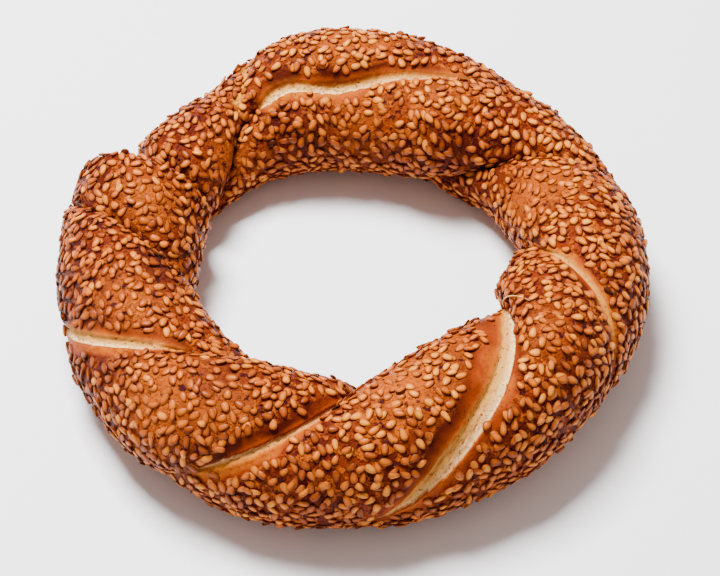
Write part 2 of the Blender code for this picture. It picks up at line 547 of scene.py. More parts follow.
    def half_width(self, angle: np.ndarray) -> np.ndarray:
        """Half the rope's width at each ring angle."""
        return round_ring(self.rope, 2, 360, 0.0, angle)

    def seam_section(self, seam_place: np.ndarray) -> np.ndarray:
        """The seam's section angle at each place along it."""
        return round_ring(self.seam, 1, self.seam_length, self.seam_wind, seam_place) % 360

    def crease_share(self, crease: Crease, angle: np.ndarray, section: np.ndarray) -> np.ndarray:
        """How deep in a crease each place lies.

        Args:
            crease: The crease.
            angle: Ring angles.
            section: Section angles.

        Returns:
            Shares from 0 to 1.
        """
        section = (section + 90) % 360 - 90
        radius = self.radius(angle)
        off = np.radians(angle - crease.angle - crease.slope * (section - 90)) * radius
        inside = np.minimum(section - crease.start, crease.end - section) / self.crease_fade
        return np.exp(-((off / crease.half_width) ** 2)) * np.clip(inside, 0.0, 1.0)

    def torn(self, seam_place: np.ndarray, after: np.ndarray) -> tuple:
        """What the tears do along the seam.

        Args:
            seam_place: Ring angles along the seam.
            after: Whether each place is on the side after the seam.

        Returns:
            Half the width of the bared crumb, the width and the browning, partly painted shade, of
            the unseeded skin, the spill and the paleness of the crumb, and whether it ends at a
            sharp edge.
        """
        tear, bare_width, toast, spill, paleness = (np.zeros_like(seam_place) for _ in range(5))
        sharp = np.zeros(seam_place.shape, bool)
        for each in self.tears:
            share = each.share(seam_place)
            torn = share > 0
            widths, toasts_and_shades = each.margin(seam_place, after)
            pale_there = np.interp(seam_place, (each.start, each.end), each.paleness)
            tear = np.maximum(tear, each.half_width * share)
            bare_width = np.maximum(bare_width, np.sqrt(share) * widths)
            toast = np.where(torn, toasts_and_shades, toast)
            spill = np.where(torn, each.spill * share, spill)
            paleness = np.where(torn, pale_there, paleness)
            sharp |= torn & (after == (each.sharp is Side.AFTER))
        return tear, bare_width, toast, spill, paleness, sharp

    def places(self, angle: np.ndarray, strand: np.ndarray, across: np.ndarray) -> CrustPlaces:
        """Points on the crust.

        Args:
            angle: Ring angles.
            strand: 0 or 1, the strand that each point is on.
            across: -1 at the strand's first seam to 1 at its second.

        Returns:
            The points and what is known of them.
        """
        turns = [self.seam_section(angle + lap) for lap in (0, 360)]
        first = np.where(strand == 0, turns[0], turns[1])
        second = np.where(strand == 0, turns[1], turns[0])
        half_span = (second - first) % 360 / 2
        section = first + half_span * (1 + across)
        radius = self.radius(angle)
        half_width = self.half_width(angle)

        after = across < 0
        seam_place = angle + 360 * np.where(after, strand, 1 - strand)
        side = np.radians(half_span) * half_width
        from_seam = side * (1 - np.abs(across))
        tear, bare_width, toast, spill, paleness, sharp = self.torn(seam_place, after)

        tilt = np.radians(section)
        open_share = 1 - self.outer_fill * ((1 + np.cos(tilt)) / 2) ** 2
        past_tear = np.maximum(from_seam - tear, 0.0)
        deepest = round_ring(self.seam_dips, 1, self.seam_length, 0.0, seam_place)
        steep_before, steep_after = (
            round_ring(self.seam_dips, column, self.seam_length, 0.0, seam_place) for column in (2, 3)
        )
        dip = deepest * (1 - past_tear / (side - tear)) ** np.where(after, steep_after, steep_before)
        shut = np.clip(1 - tear / self.cleft_fade, 0.0, 1.0)
        cleft = self.cleft_depth * np.exp(-((from_seam / self.cleft_width) ** 2)) * shut
        creased = [self.crease_share(each, angle, section) for each in self.creases]
        pressed = sum(each.depth * share for each, share in zip(self.creases, creased))
        reach = half_width - open_share * (half_width * dip + cleft) - pressed

        out = radius + reach * np.cos(tilt)
        up = self.seat * half_width + reach * np.sin(tilt)
        turn = np.radians(angle)
        points = np.stack([out * np.cos(turn), out * np.sin(turn), up], axis=-1) + self.centre

        look = self.torn_skin
        beyond = from_seam - tear
        open_tear = smooth_step(0.0, look.open_at, tear)
        ragged = sum(each.at(points) for each in look.ragged)
        edge = beyond - np.where(sharp, 0.0, spill) + np.where(sharp, look.sharp_ragged, 1.0) * ragged
        blur = np.where(sharp, look.sharp_blur, look.soft_blur)
        fullness = np.clip(look.crumb_least + look.crumb_gain * paleness, 0.0, 1.0)
        crumb = smooth_step(blur, -blur, edge) * open_tear * fullness
        # The crumb is paler towards its sharp edge: partly its own pallor, partly painted light
        lean = np.where(sharp, from_seam, -from_seam) / np.maximum(tear, look.least_tear)
        pale = smooth_step(*look.pale_span, lean) * paleness
        yellow = look.gilt_least + look.gilt_gain * paleness
        gilt = np.exp(-np.maximum(edge, 0.0) / look.gilt_width) * ~sharp * open_tear * yellow
        gilt = np.maximum(gilt, look.gilt_crease * creased[1] ** 2)
        char = np.exp(-(((edge - look.char_place) / look.char_width) ** 2)) * sharp * open_tear
        bare_edge = np.maximum(bare_width * (1 + look.wave.at(points)), look.least_margin)
        over_margin = beyond / bare_edge
        bare = smooth_step(*look.seeds_from, over_margin) * (bare_width > 0)
        toast = toast + look.toast_rise * (np.clip(over_margin, 0.0, look.seeds_from[0]) - 0.5)
        # Painted shade along the fold of a shut seam and in the first crease
        fold_shade = look.fold_shade_strength * np.exp(-from_seam / look.fold_shade_width) * shut * open_share
        crease = np.clip(np.maximum(fold_shade, look.crease_shade_strength * creased[0]), 0.0, 1.0)
        along = np.radians(seam_place) * radius
        aside = np.where(after, -from_seam, from_seam)
        return CrustPlaces(points, beyond, crumb, pale, gilt, char, bare, toast, crease, along, aside)

    def skin(self, angle: np.ndarray, strand: np.ndarray, across: np.ndarray) -> tuple:
        """The crust with its lumps, lips and pores, and the way out of it.

        Args:
            angle: Ring angles.
            strand: 0 or 1, the strand that each point is on.
            across: -1 at the strand's first seam to 1 at its second.

        Returns:
            The places, the points with their relief, and the outward normals.
        """
        here = self.places(angle, strand, across)
        step_angle, step_across = 0.25, 0.01
        side = np.where(across > 0, -1.0, 1.0)
        along = self.places(angle + step_angle, strand, across).points - here.points
        beside = self.places(angle, strand, across + side * step_across).points - here.points
        out = np.cross(along, beside) * -side[..., None]
        out /= np.maximum(np.linalg.norm(out, axis=-1, keepdims=True), TINY)
        flip = np.sign((out * (here.points - self.core(angle))).sum(axis=-1, keepdims=True))
        out *= np.where(flip == 0, 1.0, flip)

        lumps = sum(each.at(here.points) for each in self.lumps)
        pitted = field_noise(here.points, self.pore_size, self.pore_salt) - self.pore_least
        pores = np.maximum(pitted, 0.0) * self.pore_depth + self.crumb_folds.at(here.points)
        lip_off = (here.beyond - self.lip_place) / self.lip_width
        lip = self.lip * np.exp(-(lip_off**2)) * here.bare
        height = lumps - self.skin_sink + lip - here.crumb * (pores + self.floor_drop)
        points = here.points + height[..., None] * out
        points[..., 2] = np.maximum(points[..., 2], self.base_recess)
        return here, points, out

    def patch_share(self, patches: tuple, points: np.ndarray) -> np.ndarray:
        """How strongly patches of the crust lie at each point.

        Args:
            patches: The patches.
            points: The points.

        Returns:
            Shares from 0 to 1.
        """
        share = np.zeros(points.shape[:-1])
        for patch in patches:
            angle = np.array([float(patch.angle)])
            turn, tilt = math.radians(patch.angle), math.radians(patch.section)
            half_width = float(self.half_width(angle)[0])
            level = math.cos(tilt)
            outward = np.array((math.cos(turn) * level, math.sin(turn) * level, math.sin(tilt)))
            off = np.linalg.norm(points - self.core(angle)[0] - half_width * outward, axis=-1)
            off /= patch.radius
            share = np.maximum(share, patch.strength * np.exp(-off * off))
        return share

    def core(self, angle: np.ndarray) -> np.ndarray:
        """The middle of the rope.

        Args:
            angle: Ring angles.

        Returns:
            Its place at each of them.
        """
        radius = self.radius(angle)
        half_width = self.half_width(angle)
        turn = np.radians(angle)
        middle = np.stack([radius * np.cos(turn), radius * np.sin(turn), self.seat * half_width], axis=-1)
        return middle + self.centre


def put_in_scene(name: str, data: bpy.types.ID) -> bpy.types.Object:
    """Puts a mesh, a light or a camera in the scene.

    Args:
        name: Name of its object.
        data: The mesh, light or camera.

    Returns:
        Its object, at the origin.
    """
    made = bpy.data.objects.new(name, data)
    bpy.context.scene.collection.objects.link(made)
    return made


def keep_values(mesh: bpy.types.Mesh, name: str, values: np.ndarray) -> None:
    """Keeps values for a mesh's points, as an attribute.

    Args:
        mesh: The mesh.
        name: The attribute's name.
        values: One number or one vector for each point.
    """
    is_vector = values.size == 3 * len(mesh.vertices)
    kind, key = ("FLOAT_VECTOR", "vector") if is_vector else ("FLOAT", "value")
    attribute = mesh.attributes.new(name, kind, "POINT")
    attribute.data.foreach_set(key, values.reshape(-1).astype(np.float32))


def linear(colour: str) -> tuple:
    """The linear RGBA of an sRGB hex colour.

    Args:
        colour: The colour, as # and six hex digits.

    Returns:
        Red, green, blue and an alpha of 1.
    """
    values = [int(colour[place : place + 2], 16) / 255 for place in (1, 3, 5)]
    return tuple(v / 12.92 if v <= 0.04045 else ((v + 0.055) / 1.055) ** 2.4 for v in values) + (1.0,)


def add_node(tree: bpy.types.NodeTree, kind: str, inputs: dict | None = None, **settings) -> bpy.types.Node:
    """Adds a node with its settings, and with values or links at its inputs.

    Args:
        tree: The tree that gets the node.
        kind: The node's type name.
        inputs: Value or output socket for an input's name or number.
        **settings: The node's own settings.

    Returns:
        The node.
    """
    node = tree.nodes.new(kind)
    for name, value in settings.items():
        setattr(node, name, value)
    for key, value in (inputs or {}).items():
        if isinstance(value, bpy.types.NodeSocket):
            tree.links.new(value, node.inputs[key])
        else:
            node.inputs[key].default_value = value
    return node


def new_material(name: str) -> tuple:
    """An empty material.

    Args:
        name: Its name.

    Returns:
        The material, its tree and its Principled BSDF.
    """
    material = bpy.data.materials.new(name)
    material.use_nodes = True
    tree = material.node_tree
    return material, tree, tree.nodes["Principled BSDF"]


def set_values(node: bpy.types.Node, values: dict) -> None:
    """Sets values at a node's own inputs.

    Args:
        node: The node.
        values: The value for each input's name.
    """
    for name, value in values.items():
        node.inputs[name].default_value = value


# The sockets of a Mix node that mixes colours
MIX_FACTOR, MIX_A, MIX_B, MIX_RESULT = 0, 6, 7, 2
# The sockets of a Random Value node that draws whole numbers
WHOLE_LEAST, WHOLE_MOST, WHOLE_RESULT = 4, 5, 2


def paint(
    tree: bpy.types.NodeTree, ground: tuple | bpy.types.NodeSocket, coats: list
) -> bpy.types.NodeSocket:
    """Lays colours over a ground, one after the other.

    Args:
        tree: The material's tree.
        ground: The lowest colour, a value or a socket.
        coats: The share and the colour of each coat, as values or sockets.

    Returns:
        The colour on top.
    """
    for share, colour in coats:
        inputs = {MIX_FACTOR: share, MIX_A: ground, MIX_B: colour}
        ground = add_node(tree, "ShaderNodeMix", inputs, data_type="RGBA").outputs[MIX_RESULT]
    return ground


@dataclass(frozen=True)
class Grain:
    """A pattern of uneven spots.

    Attributes:
        size: Size of its spots.
        low: Noise value up to which there is none of it.
        high: Noise value from which it is full.
        detail: How many finer layers it has.
        stretch: How much longer its spots are along the second axis.
    """

    size: float
    low: float
    high: float
    detail: float = 3.0
    stretch: float = 1.0

    def share(self, tree: bpy.types.NodeTree, place: bpy.types.NodeSocket) -> bpy.types.NodeSocket:
        """The pattern's share from 0 to 1 at a place.

        Args:
            tree: The material's tree.
            place: Where to read it.

        Returns:
            The share's socket.
        """
        inputs = {"Vector": place, "Scale": (1.0, 1 / self.stretch, 1.0)}
        scaled = add_node(tree, "ShaderNodeMapping", inputs, vector_type="POINT")
        inputs = {"Vector": scaled.outputs[0], "Scale": 1 / self.size, "Detail": self.detail}
        spots = add_node(tree, "ShaderNodeTexNoise", inputs)
        inputs = {"Value": spots.outputs["Fac"], "From Min": self.low, "From Max": self.high}
        return add_node(tree, "ShaderNodeMapRange", inputs, interpolation_type="SMOOTHSTEP").outputs[0]


@dataclass(frozen=True)
class BakedCrust:
    """Baked dough: a browned, sticky-glazed skin, and pale open crumb where it tore.

    The glaze gives it a soft gloss. Its folds are painted dark as shade, and the skin is palest
    where it thins out into a tear. Its colours and patterns are named for what they colour.

    Attributes:
        uneven: How much the browning of unseeded skin varies.
        brown_full: Toast at which unseeded skin is brown.
        dark_span: Toast and painted shade from which it darkens, and at which it is darkest.
        flake_span: Share of the light flakes, partly painted glints, outside and inside the glazed patches.
        relief: Height of the fine wrinkles.
        bare_relief: Share of them on unseeded skin.
        roughness: Roughness of the skin.
        glazed_roughness: Roughness of the glazed patches.
        crumb_roughness: Roughness of the crumb.
        ior: Refraction of the glaze.
        specular: Strength of its gloss.
        scatter: Share of the light that spreads inside.
        scatter_reach: How far its red, green and blue spread.
        scatter_depth: Scale of that.
    """

    skin: str = "#70260A"
    skin_red: str = "#44100C"
    skin_gold: str = "#9E480C"
    blush: str = "#321014"
    # Light flakes, partly real flakes and partly painted glints on the glaze
    flakes_and_glints: str = "#D0822E"
    # Painted shade in the folds and creases
    fold_shade: str = "#2A0C06"
    glaze: str = "#9E480C"
    # Unseeded skin from gold to dark: real browning, and painted shade on slopes that face away from the
    # light
    bare_gold: str = "#A4540A"
    bare_streak: str = "#8E3C06"
    bare_brown: str = "#84320A"
    bare_dark_and_shade: str = "#40120A"
    gilt: str = "#C88028"
    char: str = "#621C08"
    crumb_tan: str = "#BC843E"
    # Pale crumb: partly its own colour, partly painted light
    crumb_pale_and_lit: str = "#F4D298"
    # Painted shade inside the crumb's pores
    pore: str = "#683010"
    gloss_tint: str = "#FF8C3C"
    blotch: Grain = Grain(12 * MM, 0.36, 0.60)
    mottle: Grain = Grain(2.6 * MM, 0.48, 0.62, 4.0)
    burnt: Grain = Grain(2.2 * MM, 0.56, 0.66, 3.0)
    wrinkle: Grain = Grain(0.9 * MM, 0.50, 0.72, 5.0)
    flake: Grain = Grain(0.7 * MM, 0.60, 0.70, 4.0)
    speck: Grain = Grain(0.7 * MM, 0.64, 0.74, 2.0)
    streak: Grain = Grain(1.6 * MM, 0.44, 0.66, 4.0)
    pores: Grain = Grain(0.8 * MM, 0.57, 0.70)
    fibres: Grain = Grain(0.45 * MM, 0.40, 0.75, 3.0, 6.0)
    uneven: float = 0.22
    brown_full: float = 0.55
    dark_span: tuple = (0.45, 1.1)
    flake_span: tuple = (0.15, 0.8)
    relief: float = 0.30 * MM
    bare_relief: float = 0.3
    roughness: float = 0.48
    glazed_roughness: float = 0.28
    crumb_roughness: float = 0.85
    ior: float = 1.45
    specular: float = 0.09
    scatter: float = 0.08
    scatter_reach: tuple = (1.0, 0.45, 0.2)
    scatter_depth: float = 0.8 * MM

    def bare_skin(
        self,
        tree: bpy.types.NodeTree,
        place: bpy.types.NodeSocket,
        toast: bpy.types.NodeSocket,
        blotch: bpy.types.NodeSocket,
    ) -> bpy.types.NodeSocket:
        """The colour of unseeded skin, from gold to dark brown, partly as painted shade.

        Args:
            tree: The material's tree.
            place: Where to read its patterns.
            toast: How brown it is, partly as painted shade.
            blotch: What makes that uneven.

        Returns:
            The colour.
        """
        inputs = {"Value": blotch, "To Min": -self.uneven, "To Max": self.uneven}
        drift = add_node(tree, "ShaderNodeMapRange", inputs).outputs[0]
        toast = add_node(tree, "ShaderNodeMath", {0: toast, 1: drift}, operation="ADD").outputs[0]
        inputs = {"Value": toast, "From Max": self.brown_full}
        brown = add_node(tree, "ShaderNodeMapRange", inputs).outputs[0]
        inputs = {"Value": toast, "From Min": self.dark_span[0], "From Max": self.dark_span[1]}
        dark = add_node(tree, "ShaderNodeMapRange", inputs).outputs[0]
        coats = [
            (self.streak.share(tree, place), linear(self.bare_streak)),
            (brown, linear(self.bare_brown)),
            (dark, linear(self.bare_dark_and_shade)),
            (self.speck.share(tree, place), linear(self.blush)),
        ]
        return paint(tree, linear(self.bare_gold), coats)

    def crumb(
        self,
        tree: bpy.types.NodeTree,
        place: bpy.types.NodeSocket,
        torn: bpy.types.NodeSocket,
        pale: bpy.types.NodeSocket,
    ) -> bpy.types.NodeSocket:
        """The colour of bared crumb, with the shade in its pores painted dark, and the fibres along the
        tear.

        Args:
            tree: The material's tree.
            place: Where to read its pores.
            torn: Where to read its fibres.
            pale: How pale it is, partly its own pallor and partly painted light.

        Returns:
            The colour.
        """
        coats = [
            (pale, linear(self.crumb_pale_and_lit)),
            (self.fibres.share(tree, torn), linear(self.crumb_tan)),
            (self.pores.share(tree, place), linear(self.pore)),
        ]
        return paint(tree, linear(self.crumb_tan), coats)

    def build(self) -> bpy.types.Material:
        """Builds the material.

        Returns:
            The material.
        """
        material, tree, shader = new_material("baked_crust")
        place = add_node(tree, "ShaderNodeTexCoord").outputs["Object"]
        names = ("crumb", "pale", "gilt", "char", "bare", "toast", "crease", "glazed", "scorched", "fair")
        fact = {
            name: add_node(tree, "ShaderNodeAttribute", attribute_name=name).outputs["Fac"]
            for name in names
        }
        torn = add_node(tree, "ShaderNodeAttribute", attribute_name="torn").outputs["Vector"]
        blotch = self.blotch.share(tree, place)
        mottle = self.mottle.share(tree, place)
        wrinkle = self.wrinkle.share(tree, place)
        # Light flakes, partly painted glints, mostly on the glazed patches
        flake = self.flake.share(tree, place)
        inputs = {"Value": fact["glazed"], "To Min": self.flake_span[0], "To Max": self.flake_span[1]}
        flaky = add_node(tree, "ShaderNodeMapRange", inputs).outputs[0]
        flakes_and_glints = add_node(tree, "ShaderNodeMath", {0: flake, 1: flaky}, operation="MULTIPLY").outputs[0]
        coats = [
            (blotch, linear(self.skin_red)),
            (mottle, linear(self.skin_gold)),
            (wrinkle, linear(self.skin_red)),
            (fact["fair"], linear(self.skin_gold)),
            (fact["glazed"], linear(self.glaze)),
            # Darker patches: partly scorching, partly painted shade
            (fact["scorched"], linear(self.blush)),
            (self.burnt.share(tree, place), linear(self.blush)),
            (flakes_and_glints, linear(self.flakes_and_glints)),
            (fact["bare"], self.bare_skin(tree, place, fact["toast"], blotch)),
            (fact["gilt"], linear(self.gilt)),
            (fact["char"], linear(self.char)),
            # Painted shade in the folds and creases
            (fact["crease"], linear(self.fold_shade)),
            (fact["crumb"], self.crumb(tree, place, torn, fact["pale"])),
        ]
        tree.links.new(paint(tree, linear(self.skin), coats), shader.inputs["Base Color"])

        height = add_node(tree, "ShaderNodeMath", {0: wrinkle, 1: mottle}, operation="ADD").outputs[0]
        height = add_node(tree, "ShaderNodeMath", {0: height, 1: flake}, operation="ADD").outputs[0]
        inputs = {"Value": fact["bare"], "To Min": 1.0, "To Max": self.bare_relief}
        strength = add_node(tree, "ShaderNodeMapRange", inputs).outputs[0]
        inputs = {"Strength": strength, "Distance": self.relief, "Height": height}
        tree.links.new(add_node(tree, "ShaderNodeBump", inputs).outputs[0], shader.inputs["Normal"])
        inputs = {"Value": fact["glazed"], "To Min": self.roughness, "To Max": self.glazed_roughness}
        skin_rough = add_node(tree, "ShaderNodeMapRange", inputs).outputs[0]
        inputs = {"Value": fact["crumb"], "To Min": skin_rough, "To Max": self.crumb_roughness}
        rough = add_node(tree, "ShaderNodeMapRange", inputs).outputs[0]
        tree.links.new(rough, shader.inputs["Roughness"])
        gloss = {
            "IOR": self.ior,
            "Specular IOR Level": self.specular,
            "Specular Tint": linear(self.gloss_tint),
            "Subsurface Weight": self.scatter,
            "Subsurface Radius": self.scatter_reach,
            "Subsurface Scale": self.scatter_depth,
        }
        set_values(shader, gloss)
        return material


@dataclass(frozen=True)
class Crust:
    """The bread itself, one closed skin with its tears.

    Attributes:
        ring: The form.
        finish: What it is made of.
        rows: Rows of points round the ring.
        strand_columns: Columns of points across each strand.
        even_share: How evenly they are spread, from 0 for dense at the seams to 1 for even.
        shown: The facts on each place that its finish reads.
        patches: The kinds of patches that its finish reads.
    """

    ring: TwistedRing
    finish: BakedCrust
    rows: int = 720
    strand_columns: int = 64
    even_share: float = 0.25
    shown: tuple = ("crumb", "pale", "gilt", "char", "bare", "toast", "crease")
    patches: tuple = ("glazed", "scorched", "fair")

    def columns(self) -> np.ndarray:
        """Places across a strand, denser towards its seams."""
        steps = 2 * np.arange(self.strand_columns) / self.strand_columns - 1
        return self.even_share * steps + (1 - self.even_share) * np.sin(np.pi / 2 * steps)

    def mesh(self) -> bpy.types.Mesh:
        """The skin as quads that run along the twist.

        Returns:
            The mesh, with the facts that its finish reads.
        """
        angles = 360 * np.arange(self.rows) / self.rows
        columns = self.columns()
        across = np.concatenate([columns, columns])
        strand = np.repeat([0, 1], self.strand_columns)
        grid_angles, grid_across = np.meshgrid(angles, across, indexing="ij")
        grid_strand = np.broadcast_to(strand, grid_across.shape)
        here, points, _ = self.ring.skin(grid_angles, grid_strand, grid_across)

        count = 2 * self.strand_columns
        row, column = np.meshgrid(np.arange(self.rows), np.arange(count), indexing="ij")
        beside = (column + 1) % count
        # The strands have changed places after a full round
        shift = np.where(row == self.rows - 1, self.strand_columns, 0)
        far = (row + 1) % self.rows * count
        near = row * count
        near_side = [near + column, near + beside]
        far_side = [far + (beside + shift) % count, far + (column + shift) % count]
        faces = np.stack(near_side + far_side, axis=-1).reshape(-1, 4)
        mesh = bpy.data.meshes.new("simit_crust")
        mesh.from_pydata(points.reshape(-1, 3), [], faces)
        mesh.shade_smooth()
        for name in self.shown:
            keep_values(mesh, name, getattr(here, name))
        for name in self.patches:
            keep_values(mesh, name, self.ring.patch_share(getattr(self.ring, name), here.points))
        keep_values(mesh, "torn", np.stack([here.along, here.aside, np.zeros_like(here.along)], axis=-1))
        return mesh

    def build(self) -> bpy.types.Object:
        """Builds the crust and puts it in the scene.

        Returns:
            The piece.
        """
        mesh = self.mesh()
        mesh.materials.append(self.finish.build())
        crust = put_in_scene("simit_crust", mesh)
        LOG.info("simit_crust: %d faces", len(mesh.polygons))
        return crust


@dataclass(frozen=True)
class SesameFinish:
    """Toasted sesame seed: a thin satin skin that turns from cream to brown as it roasts.

    Attributes:
        name: The material's name.
        body: Colour of the seed's face.
        deep: Colour that it varies towards.
        rim: Colour of its pointed end, which toasts first, and of its edge, partly toasted and partly
            painted shade where it meets the crust.
        mottle: How its face varies.
        relief: Height of that.
        relief_share: Share of that height that shows.
        roughness: Roughness of its skin.
        specular: Strength of its skin's own gloss.
        gloss_tint: Colour of that gloss.
        coat: Share of its thin oily coat.
        coat_roughness: How dull that coat is.
        coat_ior: Refraction of the oil.
        scatter: Share of the light that spreads inside.
        scatter_reach: How far its red, green and blue spread.
        scatter_depth: Scale of that.
    """

    name: str
    body: str
    deep: str
    rim: str
    mottle: Grain = Grain(0.9 * MM, 0.48, 0.85)
    relief: float = 0.06 * MM
    relief_share: float = 0.25
    roughness: float = 0.50
    specular: float = 0.12
    gloss_tint: str = "#FF9440"
    coat: float = 0.15
    coat_roughness: float = 0.26
    coat_ior: float = 1.47
    scatter: float = 0.10
    scatter_reach: tuple = (1.0, 0.55, 0.25)
    scatter_depth: float = 0.5 * MM

    def build(self) -> bpy.types.Material:
        """Builds the material.

        Returns:
            The material.
        """
        material, tree, shader = new_material(self.name)
        place = add_node(tree, "ShaderNodeTexCoord").outputs["Object"]
        tone, tip, rim = (
            add_node(tree, "ShaderNodeAttribute", attribute_name=name).outputs["Fac"]
            for name in ("tone", "tip", "rim")
        )
        mottle = self.mottle.share(tree, place)
        coats = [
            (tone, linear(self.deep)),
            (mottle, linear(self.deep)),
            # The darker edge is partly toasting and partly painted shade
            (rim, linear(self.rim)),
            (tip, linear(self.rim)),
        ]
        tree.links.new(paint(tree, linear(self.body), coats), shader.inputs["Base Color"])
        inputs = {"Strength": self.relief_share, "Distance": self.relief, "Height": mottle}
        tree.links.new(add_node(tree, "ShaderNodeBump", inputs).outputs[0], shader.inputs["Normal"])
        gloss = {
            "Roughness": self.roughness,
            "Specular IOR Level": self.specular,
            "Specular Tint": linear(self.gloss_tint),
            "Coat Weight": self.coat,
            "Coat Roughness": self.coat_roughness,
            "Coat IOR": self.coat_ior,
            "Subsurface Weight": self.scatter,
            "Subsurface Radius": self.scatter_reach,
            "Subsurface Scale": self.scatter_depth,
        }
        set_values(shader, gloss)
        return material


class Roast(Enum):
    """How far a seed roasted: its finish, and the roast up to which it counts as this one."""

    GLAZED = (SesameFinish("sesame_glazed", "#C06214", "#A24A0E", "#561C06"), -6.0)
    PALE = (SesameFinish("sesame_pale", "#F0A640", "#DC8624", "#762A06"), -0.95)
    GOLDEN = (SesameFinish("sesame_golden", "#DE801E", "#C66414", "#5C1E06"), -0.02)
    AMBER = (SesameFinish("sesame_amber", "#C66614", "#AC500C", "#4A1806"), 0.88)
    # The darkest kinds also hold seeds darkened as painted shade in the scorched and shaded patches
    TOASTED = (SesameFinish("sesame_toasted", "#A24A10", "#82360A", "#3A1206"), 2.50)
    SCORCHED = (SesameFinish("sesame_scorched", "#54220C", "#381408", "#200A05"), math.inf)

    def __init__(self, finish: SesameFinish, most: float) -> None:
        """Keeps the finish and the limit."""
        self.finish = finish
        self.most = most


@dataclass(frozen=True)
class SeedShape:
    """A sesame seed lying along X, of unit length, width and thickness.

    Attributes:
        point: How sharply one end tapers.
        bend: How far the seed bends sideways.
        fullness: How much thinner it is where it is narrower.
        flatness: How flat its faces are, less for flatter.
        tip_fade: How close to its pointed end the toasted tip stays, more for closer.
        rim_fade: How close to its edge the darker rim, partly toasted and partly painted shade, stays, more
            for closer.
        sides: Points round it.
        rings: Where its rings of points stand along it, from -1 to 1.
    """

    point: float
    bend: float
    fullness: float = 0.6
    flatness: float = 0.55
    tip_fade: int = 3
    rim_fade: float = 2.2
    sides: int = 8
    rings: tuple = (-0.88, -0.56, -0.08, 0.42, 0.82)

    def mesh(self, name: str) -> bpy.types.Mesh:
        """The seed's mesh, with attributes that grow towards its pointed end and its edge.

        Args:
            name: The mesh's name.

        Returns:
            The mesh.
        """
        points, tips, rims = [(-0.5, 0.0, 0.0)], [0.0], [1.0]
        for along in self.rings:
            wide = math.sqrt(1 - along * along) * (1 - self.point * along)
            thick = 0.5 * wide**self.fullness
            for side in range(self.sides):
                turn = 2 * math.pi * side / self.sides
                across = 0.5 * wide * math.cos(turn) + self.bend * along * along
                height = math.copysign(abs(math.sin(turn)) ** self.flatness, math.sin(turn))
                points.append((0.5 * along, across, thick * height))
                tips.append(max(along, 0.0) ** self.tip_fade)
                # Darker towards the edge: partly toasting, partly painted shade
                rims.append(max(abs(math.cos(turn)), abs(along)) ** self.rim_fade)
        points.append((0.5, self.bend, 0.0))
        tips.append(1.0)
        rims.append(1.0)

        faces = []
        for side in range(self.sides):
            beside = (side + 1) % self.sides
            faces.append((0, 1 + beside, 1 + side))
            for ring in range(len(self.rings) - 1):
                near, far = 1 + ring * self.sides, 1 + (ring + 1) * self.sides
                faces.append((near + side, near + beside, far + beside, far + side))
            last = 1 + (len(self.rings) - 1) * self.sides
            faces.append((last + side, last + beside, len(points) - 1))
        mesh = bpy.data.meshes.new(name)
        mesh.from_pydata(points, [], faces)
        mesh.shade_smooth()
        keep_values(mesh, "tip", np.array(tips))
        keep_values(mesh, "rim", np.array(rims))
        return mesh


@dataclass
class SeedBed:
    """The seeds that lie so far, as three discs along each, and a grid to find neighbours.

    Attributes:
        cell: Size of the grid's cells.
        cells: The discs of the seeds in each cell.
    """

    cell: float = 4.2 * MM
    cells: dict = field(default_factory=dict)

    def near(self, place: np.ndarray) -> np.ndarray:
        """The discs of the seeds round a place.

        Args:
            place: The place.

        Returns:
            Rows of x, y, z and radius.
        """
        x, y, z = (place // self.cell).astype(int)
        found = []
        for i in (x - 1, x, x + 1):
            for j in (y - 1, y, y + 1):
                for k in (z - 1, z, z + 1):
                    found.extend(self.cells.get((i, j, k), ()))
        return np.concatenate(found) if found else np.empty((0, 4))

    def fits(self, discs: np.ndarray, others: np.ndarray, closeness: float) -> bool:
        """Whether a seed's discs stay clear of others.

        Args:
            discs: The seed's discs.
            others: The discs round it.
            closeness: How near they may come, as a share of their radii.

        Returns:
            True where it fits.
        """
        if not len(others):
            return True
        apart = np.linalg.norm(discs[:, None, :3] - others[None, :, :3], axis=-1)
        return bool((apart > closeness * (discs[:, None, 3] + others[None, :, 3])).all())

    def lay(self, discs: np.ndarray) -> None:
        """Adds a seed's discs."""
        key = tuple((discs[1, :3] // self.cell).astype(int))
        self.cells.setdefault(key, []).append(discs)


@dataclass(frozen=True)
class Strewing:
    """One strewing of seeds.

    Attributes:
        tries: How many places to try.
        closeness: How near two of its seeds may come, as a share of their widths.
        lift: How far above the crust it lies.
        lean: How far its seeds lean, as a spread.
    """

    tries: int
    closeness: float
    lift: float
    lean: float


